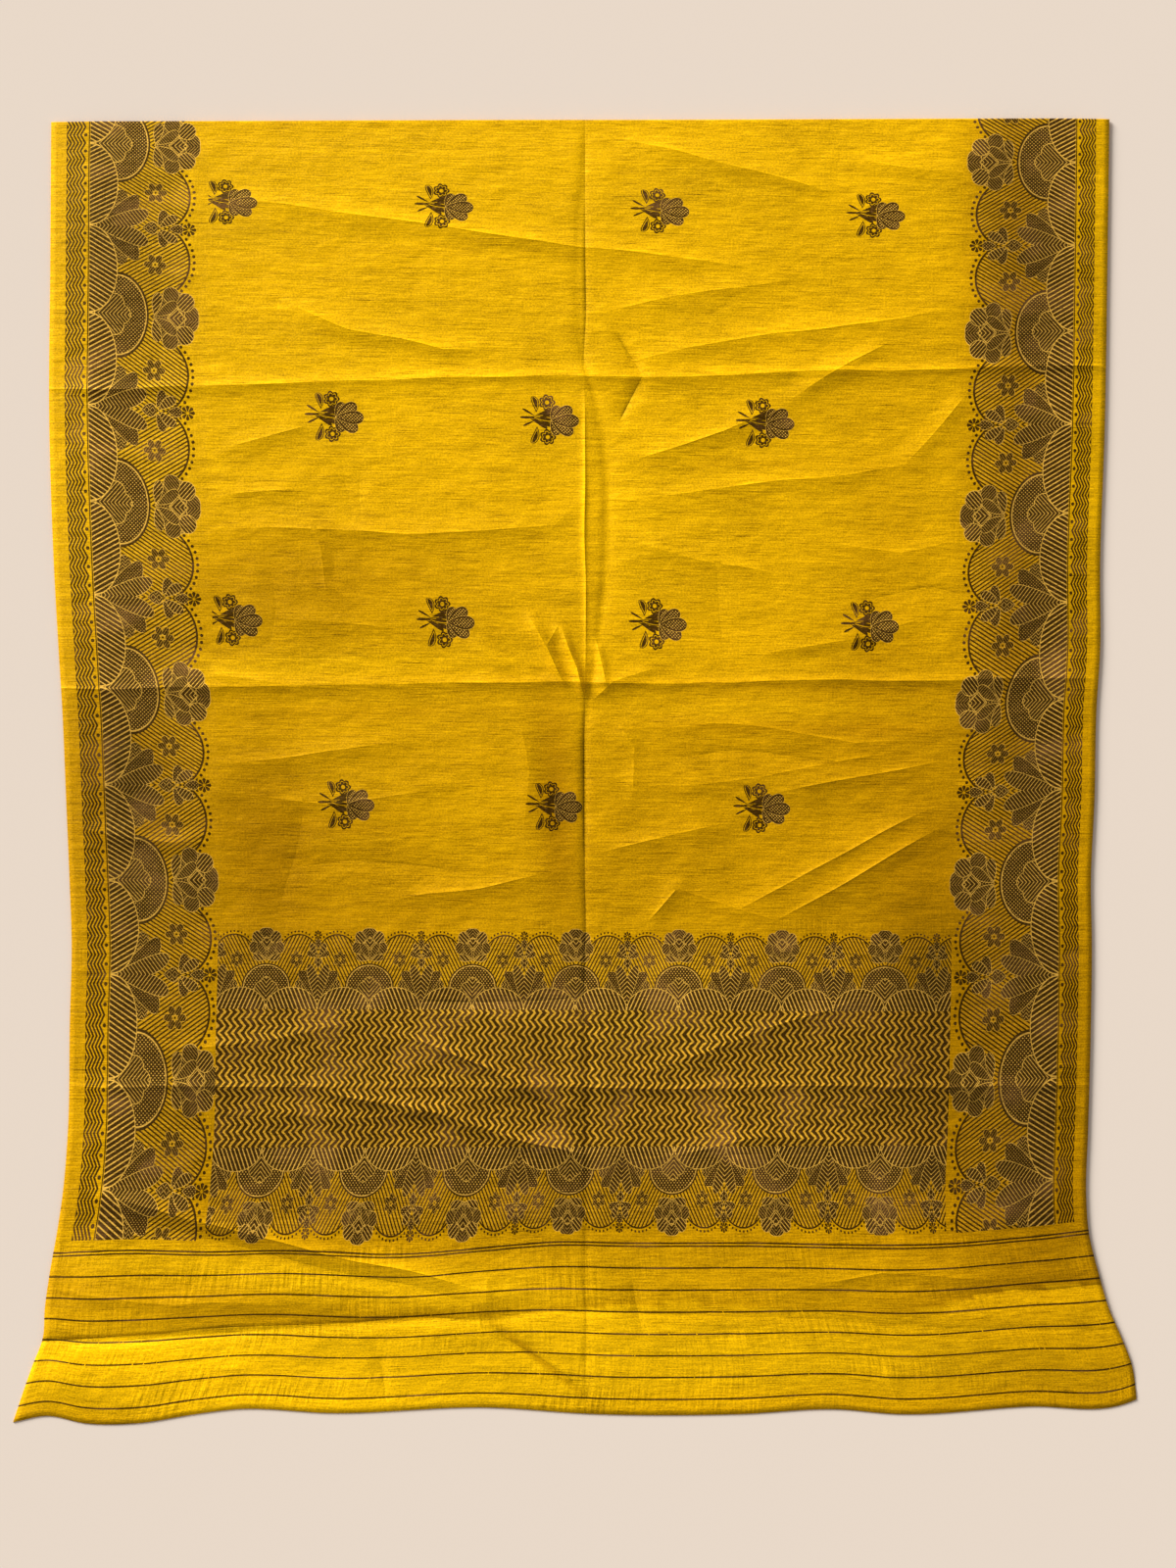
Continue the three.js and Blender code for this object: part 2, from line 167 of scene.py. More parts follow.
# Creases and soft wrinkles, each along a line of points
CREASES = [
    # rise, width, then points
    (2.6, 9, (-318, 521), (-299, 498), (-243, 476), (-143, 453), (-105, 455)),
    (1.6, 8, (-378, 344), (-284, 373)),
    (1.2, 7, (-382, 295), (-292, 301)),
    (2, 9, (-401, 260), (-176, 257), (-22, 266), (8, 294)),
    (2.2, 10, (-409, 620), (-341, 611), (-176, 591), (-132, 585), (8, 562), (226, 540)),
    (1.3, 8, (14, 492), (100, 508), (245, 532)),
    (1.4, 8, (-341, 167), (-176, 152)),
    (1.4, 8, (-401, 105), (-299, 88)),
    (1.6, 8, (-401, 8), (-299, 18), (-176, 32)),
    (2, 9, (-199, -142), (-105, -124), (-22, -105)),
    (2.2, 10, (27, 687), (103, 668), (226, 634), (299, 615)),
    (1.8, 10, (20, 436), (205, 466), (356, 490), (428, 505)),
    (2, 11, (227, 396), (299, 442), (348, 468)),
    (1.8, 9, (348, 320), (428, 408)),
    (2.1, 10, (58, 329), (159, 366), (226, 396)),
    (1.6, 9, (24, 286), (226, 313), (411, 331)),
    (1.8, 9, (46, 253), (159, 223), (226, 207)),
    (1.8, 9, (15, -89), (166, -55)),
    (2, 8, (77, -161), (121, -115)),
    (2, 11, (204, -26), (300, -8), (410, 16)),
    (2.2, 12, (150, -162), (254, -106), (410, -30)),
    (2.3, 11, (205, -165), (324, -101), (412, -54)),
    (3.3, 8, (-205, -276), (-91, -320), (-10, -360)),
    (-2, 10, (-190, -250), (-60, -246), (40, -238)),
    (2, 11, (68, -327), (226, -271), (331, -236)),
    (4, 8, (-300, -334), (-144, -371), (-60, -398), (45, -419)),
    (3.2, 9, (-550, -446), (-413, -484), (-323, -504), (-232, -526), (-156, -545), (-70, -563)),
    (-1.1, 10, (-550, -462), (-413, -501), (-323, -521), (-232, -543), (-156, -562), (-70, -579)),
    (-3.6, 4, (44, 474), (75, 426)),
    (-3.2, 4, (76, 430), (50, 376)),
    (3.6, 5, (-52, 170), (-26, 130), (-6, 90)),
    (3.6, 4, (-14, 156), (4, 112), (11, 78)),
    (2.6, 5, (24, 146), (33, 90)),
    (1.2, 4, (-30, 131), (-14, 158)),
    (1.4, 9, (12, 70), (40, 96), (90, 112)),
    (-3.4, 5, (-95, -588), (-72, -612), (-7, -653), (16, -677)),
    (1.4, 7, (-94, -540), (-94, -579)),
    (-1.4, 8, (539, -592), (587, -626)),
    (1, 6, (-280, 262), (-268, 201), (-213, 167)),
    (-0.6, 7, (-232, 273), (-227, 334)),
    (1.2, 6, (-118, 142), (-63, 106)),
    (-0.5, 9, (-335, 240), (-322, 180), (-330, 110)),
    (-0.5, 9, (-250, 350), (-240, 280)),
    (1.6, 8, (-540, -60), (-430, -75), (-380, -60)),
    (1.2, 10, (20, 40), (150, 52), (300, 30), (420, 44)),
    (-1, 10, (30, 8), (160, 22), (330, 2)),
    (1, 9, (60, -20), (200, -8), (380, 30)),
    (1.2, 10, (-380, -20), (-260, -36), (-120, -20)),
    (-1, 9, (-360, -110), (-240, -96), (-90, -112)),
    (1.2, 8, (100, -120), (180, -150), (235, -165)),
    (1, 8, (-60, 60), (-50, 0), (-58, -70)),
    (1, 7, (40, 60), (62, 20), (60, -40)),
    (1, 8, (300, 660), (420, 640), (450, 600)),
    (1, 9, (260, 250), (350, 236), (430, 250)),
    (-0.9, 9, (300, 180), (380, 200), (440, 190)),
    (-0.7, 9, (-292, -30), (-300, -90), (-318, -160)),
    (1.4, 8, (-470, -300), (-330, -290), (-210, -262)),
    (1.2, 7, (180, 120), (300, 140), (400, 175)),
    (-0.6, 9, (150, 250), (160, 120)),
    (1.4, 8, (-360, -365), (-200, -372), (-40, -345)),
    (1.6, 8, (60, -420), (200, -395), (360, -400)),
    (1.4, 7, (210, -560), (330, -540), (470, -548)),
    (-1.4, 7, (60, -540), (75, -610)),
    (-1.2, 7, (130, -560), (180, -620)),
    (1.4, 7, (-560, -560), (-430, -575), (-300, -570)),
    (-2.6, 8, (-820, -616), (-571, -614), (-470, -608), (-339, -597), (-102, -589), (33, -576)),
    (-2.8, 7, (395, -568), (474, -556), (566, -554), (700, -552)),
    (1.2, 6, (330, -640), (350, -690)),
    (-1.2, 6, (-210, -620), (-200, -688)),
]

# Broad soft swells and hollows, and the painted light and shade that the silk's lie would give the
# same places
SWELLS = [
    # x, y, half length, half width, degrees, rise, painted light and shade
    (-335, -80, 55, 110, 6, -1, -0.2), (-20, -30, 20, 120, 3, -1.2, -0.2),
    (-490, -30, 60, 160, 0, -0.8, -0.3), (-150, -120, 90, 60, 0, -0.5, -0.08),
    (330, 170, 60, 260, -8, -0.8, -0.1), (60, 200, 50, 180, 0, 0.6, 0.04),
    (-230, 430, 220, 60, 8, 0.8, 0.04), (-200, 620, 260, 60, 4, 0.8, 0.05),
    (-300, 205, 150, 60, 3, 1, -0.2), (-490, 560, 50, 150, 0, 0, -0.16),
    (480, 600, 50, 160, 0, 0, -0.22), (-300, 112, 260, 14, 2, 0.5, 0.12),
    (-380, -652, 290, 50, -4, 0.8, 0.6), (250, -640, 260, 50, 0, 0.4, 0.22),
    (0, -640, 220, 60, 0, 0, 0.16), (-330, -540, 260, 28, -6, 0, 0.3),
    (-40, -550, 190, 40, 0, 0, 0.16), (30, -200, 120, 70, 0, 0, 0.06),
    (330, -540, 240, 36, -4, -0.4, 0.06), (385, -230, 60, 240, 0, -0.6, -0.26),
    (478, 200, 52, 560, 0, -0.6, -0.34), (500, -480, 70, 70, 0, 0, -0.1),
    (0, -612, 640, 80, 0, 0, 0.1), (-38, -634, 62, 4, -39, 0, -0.34),
    (230, 92, 190, 6, -1, 0, -0.1), (250, 46, 180, 6, -1, 0, -0.12),
    (210, 68, 190, 6, 0, 0, 0.06), (-250, 62, 180, 7, 1, 0, -0.07),
    (-200, 560, 190, 5, 2, 0, -0.05), (210, 330, 190, 5, 1, 0, -0.06),
    (-230, -62, 150, 6, 0, 0, -0.07), (478, -100, 60, 130, 0, 0, 0.1),
    (-500, -140, 60, 140, 0, 0, 0.12), (-510, -420, 60, 150, 0, 0, 0.12),
    (300, 420, 160, 160, 0, 0, -0.06), (250, 20, 170, 40, 5, 0.6, -0.06),
    (-120, -80, 80, 70, 0, 0.3, 0.12), (90, -260, 90, 60, 20, 0.8, 0.14),
    (-110, -230, 70, 60, 20, 0.6, 0.1),
]

# The last fold: painted shade in a band above its line and painted light in one below, and how
# strong they are
FRONT_LINE = [
    # x, y, strength
    (-606, -614, 1), (-470, -608, 1), (-339, -597, 0.8), (-102, -589, 0.6), (33, -576, 0.7),
    (120, -571, 0.35), (340, -586, 0.4), (474, -556, 1), (606, -552, 1),
]
FRONT_PAINTED_SHADE = (-0.2, 18)
FRONT_PAINTED_LIGHT = (0.14, 60)

# Painted shade: the lower half is darker, and so is the hidden cloth
LOWER_SHADE = 0.3
LOWER_SHADE_TOP = 420
LOWER_SHADE_RUN = 700
HIDDEN_PAINTED_SHADE = 0.95

# How much higher the creases rise in the mesh, and how crisp their lines are in its relief
CREASE_SCALE = 1.7
CRISP_FOLD = 0.42
CRISP_CREASE = 0.7
FOLD_LAYERS = ("Folds across", "Fold along", "Creases")

# How far a crease fades at its ends, as a share of its length, what is left there, how steeply it
# falls beside its line, and how far creases and folds stray from their lines
CREASE_FADE = 0.28
CREASE_FADED = 0.2
CREASE_FALL = -2.4
WANDER, WANDER_SIZE = 3.5, 75
SWAY, SWAY_SIZE = 2, 60

# Uneven lie of the silk all over, with more of it in the lower half
LOWER_FROM = 120
LOWER_RUN = 150
UNEVEN = [
    # rise, more below, squeeze along, size, seed
    (0.5, 0.3, 1, 70, 11),
    (0.25, 0.3, 1.6, 28, 12),
]
RIPPLE = 0.22
RIPPLE_FROM = -200
RIPPLE_RUN = 200

# How far the cloth stands off the layers, and how it comes down past their front and side edges
LOFT = 1.8
END_SETTLE = 1.1
LOFT_FADE = 48
DROP_RUN = 85
FRONT_DIP = 2.2
DIP_RUN = 8
SIDE_DROOP = 0.35
SIDE_RUN = 6

# The stack is thinner towards its sides
EDGE_SETTLE = 2.8
EDGE_RUN = 60

# The meshes' points across and along, and how much closer they stand near the folds
SPREAD_POINTS = (186, 250)
LAYER_POINTS = (72, 64)
MEAN_SIDES = (-566, 571)
MEAN_ENDS = (-693, 700)
EXTRA_LINES = [-598, -640, 690]
GATHER_WIDTH = 26
GATHER_SHARES = (1.6, 1.3)
FINE_STEPS = 4001


def ease(value):
    t = np.clip(value, 0, 1)
    return t * t * (3 - 2 * t)


def column(table, index):
    return np.array([row[index] for row in table], dtype=float)


def curve_through(places, values, at):
    """A smooth curve through places and values, straight beyond its ends."""
    if places[0] > places[-1]:
        places, values = places[::-1], values[::-1]
    slopes = np.gradient(values, places)
    i = np.clip(np.searchsorted(places, at) - 1, 0, len(places) - 2)
    span = places[i + 1] - places[i]
    t = (at - places[i]) / span
    inner = np.clip(t, 0, 1)
    t2, t3 = inner**2, inner**3
    curve = (
        (2 * t3 - 3 * t2 + 1) * values[i]
        + (t3 - 2 * t2 + inner) * span * slopes[i]
        + (3 * t2 - 2 * t3) * values[i + 1]
        + (t3 - t2) * span * slopes[i + 1]
    )
    below = np.minimum(t, 0) * span * slopes[i]
    above = np.maximum(t - 1, 0) * span * slopes[i + 1]
    return curve + below + above


def outline(table, index, at):
    """A smooth curve through a column of a table, level beyond its ends."""
    places = column(table, 0)
    return curve_through(places, column(table, index), np.clip(at, places.min(), places.max()))


def left_edge(y):
    return outline(SECTIONS, 1, y)


def right_edge(y):
    return outline(SECTIONS, 2, y)


def from_side(x, y):
    return np.minimum(x - left_edge(y), right_edge(y) - x)


def free_end(x):
    return outline(FREE_END, 1, x)


def end_line(x):
    x = np.clip(x, -END_LINE_REACH, END_LINE_REACH)
    return curve_through(column(END_LINE, 0), column(END_LINE, 1), x)


def middle_fold(index, y):
    return curve_through(column(MIDDLE_FOLD, 0), column(MIDDLE_FOLD, index), y)


def fold_line(fold, across):
    """Where a fold across the cloth lies, at a share of the way across."""
    left, middle, right = fold[:3]
    first_half = left + (middle - left) * ease(across * 2)
    second_half = middle + (right - middle) * ease(across * 2 - 1)
    return np.where(across < 0.5, first_half, second_half)


def past_front(y, across):
    """0 on the layers and 1 where the cloth has come down to the surface in front of them."""
    return ease((fold_line(FRONT_FOLD, across) - y) / DROP_RUN)


ROUGH_CELLS = 63
ROUGH_SHIFT = (20.3, 31.7)


def rough(x, y, size, seed):
    """Smooth uneven values from -1 to 1 that change over the given size, the same each run."""
    values = np.random.default_rng(seed).uniform(-1, 1, (ROUGH_CELLS + 1, ROUGH_CELLS + 1))
    px, py = x / size + ROUGH_SHIFT[0], y / size + ROUGH_SHIFT[1]
    i, j = np.floor(px).astype(int), np.floor(py).astype(int)
    s, t = ease(px - i), ease(py - j)
    i, j = i % ROUGH_CELLS, j % ROUGH_CELLS
    low = values[i, j] * (1 - s) + values[i + 1, j] * s
    high = values[i, j + 1] * (1 - s) + values[i + 1, j + 1] * s
    return low * (1 - t) + high * t


def wander(x, y):
    """The same places, moved a little, so a line drawn between points isn't straight."""
    aside_x, aside_y = (WANDER * rough(x, y, WANDER_SIZE, seed) for seed in (61, 62))
    return x + aside_x, y + aside_y


def fold_sway(x, y):
    """How far the folds across the cloth stray from their lines."""
    return SWAY * rough(x, y * 0, SWAY_SIZE, 3)


def middle_sway(x, y):
    """How far the fold along the middle strays from its line."""
    return SWAY * rough(x * 0, y, SWAY_SIZE, 5)


def fading(place, total):
    """How strong a crease is along its length: it fades at both ends."""
    return ease(place / total / CREASE_FADE) * ease((total - place) / total / CREASE_FADE)


def stretches(points):
    """The straight stretches of a crease: start, step, length, and the length before each."""
    before = 0
    for start, end in zip(points[:-1], points[1:]):
        step = (end[0] - start[0], end[1] - start[1])
        yield start, step, math.hypot(*step), before
        before += math.hypot(*step)


def off_stretch(x, y, start, step, length):
    """How far along a straight stretch each place is, from 0 to 1, and how far off it."""
    dx, dy = x - start[0], y - start[1]
    share = np.clip((dx * step[0] + dy * step[1]) / length**2, 0, 1)
    return share, np.hypot(dx - share * step[0], dy - share * step[1])


def creases(x, y):
    height = np.zeros_like(x)
    x, y = wander(x, y)
    for rise, width, *points in CREASES:
        nearest = np.full_like(x, FAR)
        place = np.zeros_like(x)
        for start, step, length, before in stretches(points):
            share, away = off_stretch(x, y, start, step, length)
            place = np.where(away < nearest, before + share * length, place)
            nearest = np.minimum(away, nearest)
        fade = CREASE_FADED + (1 - CREASE_FADED) * fading(place, before + length)
        height += CREASE_SCALE * rise * fade * np.hypot(1, nearest / width) ** CREASE_FALL
    return height


def swells(x, y):
    """The rise of all the swells, and their painted light and shade."""
    rises, painted_light_and_shade = np.zeros_like(x), np.zeros_like(x)
    for middle_x, middle_y, half_length, half_width, degrees, rise, tone in SWELLS:
        turn = math.radians(degrees)
        dx, dy = x - middle_x, y - middle_y
        u = (dx * math.cos(turn) + dy * math.sin(turn)) / half_length
        v = (dy * math.cos(turn) - dx * math.sin(turn)) / half_width
        near = np.exp(-(u * u + v * v))
        rises += rise * near
        # The tone column is painted light and shade, not woven colour
        painted_light_and_shade += tone * near
    return rises, painted_light_and_shade


def front_shade(x, y):
    """The painted shade above the last fold's line and the painted light below it."""
    places = column(FRONT_LINE, 0)
    away = y - np.interp(x, places, column(FRONT_LINE, 1))
    dark = FRONT_PAINTED_SHADE[0] * np.exp(-np.abs(away) / FRONT_PAINTED_SHADE[1])
    bright = FRONT_PAINTED_LIGHT[0] * np.exp(-np.abs(away) / FRONT_PAINTED_LIGHT[1])
    return np.interp(x, places, column(FRONT_LINE, 2)) * np.where(away > 0, dark, bright)


def lift(x, y, across):
    """How far the cloth stands off what it lies on."""
    down = past_front(y, across)
    height = LOFT - END_SETTLE * down
    for fold in CROSS_FOLDS:
        away = np.abs(y - fold_line(fold, across) - fold_sway(x, y))
        height += fold[3] * np.exp(-away / FOLD_WIDTH)
    away = x - MIDDLE_X - middle_fold(2, y) - middle_sway(x, y)
    width = np.where(away < 0, *MIDDLE_WIDTHS)
    height += middle_fold(1, y) * np.exp(-np.abs(away) / width)
    height += creases(x, y) + swells(x, y)[0]
    lower = ease((LOWER_FROM - y) / LOWER_RUN)
    for rise, more, squeeze, size, seed in UNEVEN:
        height += (rise + more * lower) * rough(x, y * squeeze, size, seed)
    height += RIPPLE * rough(x * 2.6, y * 0.5, 30, 13) * ease((RIPPLE_FROM - y) / RIPPLE_RUN)
    from_ends = np.minimum(fold_line(BACK_FOLD, across) - y, y - free_end(x))
    nearest = np.minimum(from_ends, from_side(x, y))
    # Past the layers' front edge the cloth dips below their top
    dip = ease((fold_line(FRONT_FOLD, across) + DIP_RUN - y) / DIP_RUN) * (1 - down)
    return np.maximum(-FRONT_DIP * dip, height * ease(nearest / LOFT_FADE))


def settled(x, y):
    """How much lower the top of the stack is here than at its middle."""
    return EDGE_SETTLE * ease((EDGE_RUN - from_side(x, y)) / EDGE_RUN)


def ground(x, y, across):
    """Height of what the cloth lies on: the layers, and past them the surface."""
    droop = SIDE_DROOP * ease((SIDE_RUN - from_side(x, y)) / SIDE_RUN)
    return (STACK_TOP + GAP - settled(x, y) - droop) * (1 - past_front(y, across))


def border_lines(y):
    """The borders' outer and inner lines on the cloth as laid, from left to right."""
    left, right = left_edge(y), right_edge(y)
    return [left + LEFT_OUTER, left + LEFT_INNER, right - RIGHT_INNER, right - RIGHT_OUTER]


def between(x, stations, values):
    """Runs evenly from each station's value to the next one's."""
    result = values[0]
    for i in range(len(stations) - 1):
        share = np.clip((x - stations[i]) / (stations[i + 1] - stations[i]), 0, 1)
        result = result + (values[i + 1] - result) * share
    return result


def woven_across(x, y):
    """Distance from the left selvedge in the woven cloth."""
    outer, inner = WOVEN_OUTER, WOVEN_INNER
    woven = [0, outer, inner, CLOTH_WIDTH - inner, CLOTH_WIDTH - outer, CLOTH_WIDTH]
    return between(x, [left_edge(y), *border_lines(y), right_edge(y)], woven)


def woven_along(x, y):
    """Distance along the woven cloth from the middle of the first dome."""
    rows = np.arange(len(WEFT_LINES)) * HALF_REPEAT
    line = end_line(x)
    values = []
    for i in range(4):
        places = column(WEFT_LINES, i)
        last = places[-1]
        above = curve_through(places, rows, np.maximum(y, last))
        below = rows[-1] + (DOUBLE_LINE - rows[-1]) * (last - y) / np.maximum(last - line, 1)
        values.append(np.where(y >= last, above, below))
    before = between(x, border_lines(y), values)
    past = (line - y) / (line - free_end(x))
    return np.where(y >= line, before, DOUBLE_LINE + (WEAVE_END - DOUBLE_LINE) * past)


def gathered_places(low, high, count, centres, share):
    """Places from low to high, closer together near the centres."""
    fine = np.linspace(low, high, FINE_STEPS)
    density = np.ones_like(fine)
    for centre in centres:
        density += share * np.exp(-(((fine - centre) / GATHER_WIDTH) ** 2))
    total = np.concatenate([[0], np.cumsum((density[1:] + density[:-1]) / 2)])
    return np.interp(np.linspace(0, total[-1], count), total, fine)


def nearest_bouquet(across, along, rows):
    """Offset from the nearest bouquet's middle."""
    best_x, best_y = np.full_like(across, NO_BOUQUET), np.full_like(across, NO_BOUQUET)
    for centre, kind in rows:
        dx, dy = across - BOUQUET_FIRST[kind], along - centre
        dx -= np.clip(np.round(dx / BOUQUET_PITCH), 0, BOUQUETS_ACROSS[kind] - 1) * BOUQUET_PITCH
        closer = np.hypot(dx, dy) < np.hypot(best_x, best_y)
        best_x, best_y = np.where(closer, dx, best_x), np.where(closer, dy, best_y)
    return best_x, best_y


FIELD, BORDER, BOUQUET, PALLU, END = range(5)
BORDER_REACH = 172
PALLU_INSET = 6
PALLU_MARGIN = 10
END_START = 1144


def cloth_parts(across, along, rows, has_end):
    """Which part of the weave each place lies in."""
    edge = np.minimum(across, CLOTH_WIDTH - across)
    dx, dy = nearest_bouquet(across, along, rows)
    near = np.maximum(np.abs(dx), np.abs(dy)) < BOUQUET_REACH
    part = np.where(near, BOUQUET, FIELD)
    part = np.where(edge < BORDER_REACH, BORDER, part)
    if has_end:
        inside = (across > PALLU_LEFT + PALLU_INSET) & (across < PALLU_RIGHT - PALLU_INSET)
        pallu = np.abs(along - PALLU_MIDDLE) < PALLU_HALF + PALLU_MARGIN
        part = np.where(pallu & inside, PALLU, part)
        part = np.where(along > END_START, END, part)
    return part


def crisp_folds(corners):
    """For each face corner: its distance from the nearest fold or crease line, and the line's
    crispness, for the folds across, the fold along the middle, and the creases."""
    x, y = corners[..., 0], corners[..., 1]
    middle_x, middle_y = corners.mean(axis=1).T
    across = (x - left_edge(y)) / (right_edge(y) - left_edge(y))
    middle_across = (middle_x - left_edge(middle_y)) / CLOTH_WIDTH
    gaps = np.stack([middle_y - fold_line(fold, middle_across) for fold in CROSS_FOLDS])
    chosen = np.abs(gaps).argmin(axis=0)
    lines = np.stack([fold_line(fold, across) for fold in CROSS_FOLDS])
    line = np.take_along_axis(lines, chosen[None, :, None], axis=0)[0]
    pairs = [
        (y - line - fold_sway(x, y), column(CROSS_FOLDS, 3)[chosen][:, None] * CRISP_FOLD),
        (x - MIDDLE_X - middle_sway(x, y), middle_fold(3, y) * CRISP_FOLD),
    ]
    uneven = 0.75 + 0.45 * rough(x, y, 40, 51)
    # Each face takes the crease nearest its middle
    x, y = wander(x, y)
    middle_x, middle_y = wander(middle_x, middle_y)
    nearest = np.full(len(corners), FAR)
    away, crisp = np.zeros_like(x), np.zeros_like(x)
    for rise, width, *points in CREASES:
        runs = list(stretches(points))
        total = sum(length for start, step, length, before in runs)
        for start, step, length, before in runs:
            gap = off_stretch(middle_x, middle_y, start, step, length)[1]
            closer = (gap < nearest)[:, None]
            nearest = np.minimum(gap, nearest)
            dx, dy = x - start[0], y - start[1]
            along = before + (dx * step[0] + dy * step[1]) / length
            away = np.where(closer, (dx * step[1] - dy * step[0]) / length, away)
            crisp = np.where(closer, rise * CRISP_CREASE * fading(along, total), crisp)
    pairs.append((away, crisp))
    return [packed(away, crisp * uneven) for away, crisp in pairs]


def placed(name, data):
    """A new object in the scene."""
    item = bpy.data.objects.new(name, data)
    bpy.context.scene.collection.objects.link(item)
    return item


def packed(*parts):
    return np.stack(parts, axis=-1)


def surfaces(middle, wall):
    """The outer and inner surface of a sheet, from the surface midway between them."""
    normal = np.cross(np.gradient(middle, axis=0), np.gradient(middle, axis=1))
    normal /= np.linalg.norm(normal, axis=-1, keepdims=True)
    half = normal * (wall / 2)[..., None]
    return middle + half, middle - half


def sheet_mesh(name, middle, wall, woven, tone, rows, has_end):
    """A closed sheet around a grid of points, with its place in the weave and its painted light
    and shade at each.
    """
    top, bottom = surfaces(middle, wall)
    count, width = top.shape[:2]
    points = np.concatenate([top.reshape(-1, 3), bottom.reshape(-1, 3)]) * MM
    points[:, 2] = np.maximum(points[:, 2], 0)
    index = np.arange(count * width).reshape(count, width)
    a, b = index[:-1, :-1], index[:-1, 1:]
    c, d = index[1:, 1:], index[1:, :-1]
    upper = packed(a, d, c, b).reshape(-1, 4)
    lower = packed(a, b, c, d).reshape(-1, 4) + count * width
    rim = []
    for run in (index[0, ::-1], index[:, 0], index[-1, :], index[::-1, -1]):
        p, q = run[:-1], run[1:]
        rim.append(packed(p, p + count * width, q + count * width, q))
    quads = np.concatenate([upper, lower, *rim])
    mesh = bpy.data.meshes.new(name)
    mesh.vertices.add(len(points))
    mesh.vertices.foreach_set("co", points.astype(np.float32).ravel())
    mesh.loops.add(quads.size)
    mesh.loops.foreach_set("vertex_index", quads.astype(np.int32).ravel())
    mesh.polygons.add(len(quads))
    mesh.polygons.foreach_set("loop_start", np.arange(0, quads.size, 4, dtype=np.int32))
    # The cut edges stay crisp, so the sheet's own shading runs flat up to them
    mesh.polygons.foreach_set("use_smooth", np.arange(len(quads)) < 2 * len(upper))
    corners = np.tile(woven.reshape(-1, 2), (2, 1))[quads]
    centre = corners.mean(axis=1)
    part = cloth_parts(*centre.T, rows, has_end)
    mesh.polygons.foreach_set("material_index", part.astype(np.int32))
    offset = packed(*nearest_bouquet(*centre.T, rows))
    layers = {"Weave": corners, "Motif": corners + (offset - centre)[:, None, :]}
    layers.update(zip(FOLD_LAYERS, crisp_folds(points[quads][..., :2] / MM)))
    for layer, values in layers.items():
        uv = mesh.uv_layers.new(name=layer)
        uv.uv.foreach_set("vector", (values * MM).astype(np.float32).ravel())
    mesh.update(calc_edges=True)
    # The painted light and shade, kept on the points for the materials
    shade = mesh.attributes.new("PaintedShade", "FLOAT", "POINT")
    shade.data.foreach_set("value", np.tile(tone.ravel(), 2).astype(np.float32))
    return placed(name, mesh)


def x_at(y, across):
    """The place at a share of the way across."""
    return left_edge(y) + (right_edge(y) - left_edge(y)) * across


def spread_sheet():
    """The stretch that shows, from its turn behind the back fold to the hem."""
    left, right = MEAN_SIDES
    places = gathered_places(left, right, SPREAD_POINTS[0], [MIDDLE_X], GATHER_SHARES[0])
    across = (places - left) / (right - left)
    folds = [fold[1] for fold in CROSS_FOLDS[:3]] + EXTRA_LINES
    lines = gathered_places(*MEAN_ENDS, SPREAD_POINTS[1], folds, GATHER_SHARES[1])[::-1]
    along = (lines[0] - lines) / (lines[0] - lines[-1])
    radius = (STACK_TOP + GAP + CLOTH_THICKNESS / 2 - LAYER_HEIGHTS[0]) / 2
    back = fold_line(BACK_FOLD, across) - radius - BACK_CLEARANCE
    # The free end isn't straight, so where it lies is found in a few rounds
    end = np.full_like(across, MEAN_ENDS[0])
    for _ in range(4):
        end = free_end(x_at(end, across))
    y = back + (end - back) * along[:, None]
    x = x_at(y, across)
    hem = ease((HEM_DEPTH - (y - free_end(x))) / HEM_STEP)
    wall = CLOTH_THICKNESS + (HEM_THICKNESS - CLOTH_THICKNESS) * hem
    shares = across + 0 * y
    z = ground(x, y, shares) + lift(x, y, shares) + wall / 2
    woven_x, woven_y = woven_across(x, y), woven_along(x, y)
    # Painted light and shade: darker towards the lower half, with the swells' and the last fold's
    # bands
    tone = 1 - LOWER_SHADE * ease((LOWER_SHADE_TOP - y) / LOWER_SHADE_RUN)
    tone = tone + swells(x, y)[1] + front_shade(x, y)
    # The turn behind the back fold comes first, from its lower end up
    half = np.maximum((z[0] - LAYER_HEIGHTS[0] + settled(x[0], y[0])) / 2, LEAST_TURN)
    turn = np.radians(BACK_TURN)[:, None]
    level = 0 * turn + 0 * half
    turn_middle = [x[0] + level, back + half * np.cos(turn), z[0] + half * (np.sin(turn) - 1)]
    turn_woven = [woven_x[0] + level, woven_y[0] - half * (math.pi / 2 - turn)]
    middle = np.concatenate([packed(*turn_middle), packed(x, y, z)])
    woven = np.concatenate([packed(*turn_woven), packed(woven_x, woven_y)])
    wall = np.concatenate([level + CLOTH_THICKNESS, wall])
    tone = np.concatenate([level + 1, tone])
    return sheet_mesh("spread_cloth", middle, wall, woven, tone, BOUQUET_ROWS, True)


def edge_waver(along, side):
    return 0.9 * rough(along, along * 0 + side * 400, 45, 21)


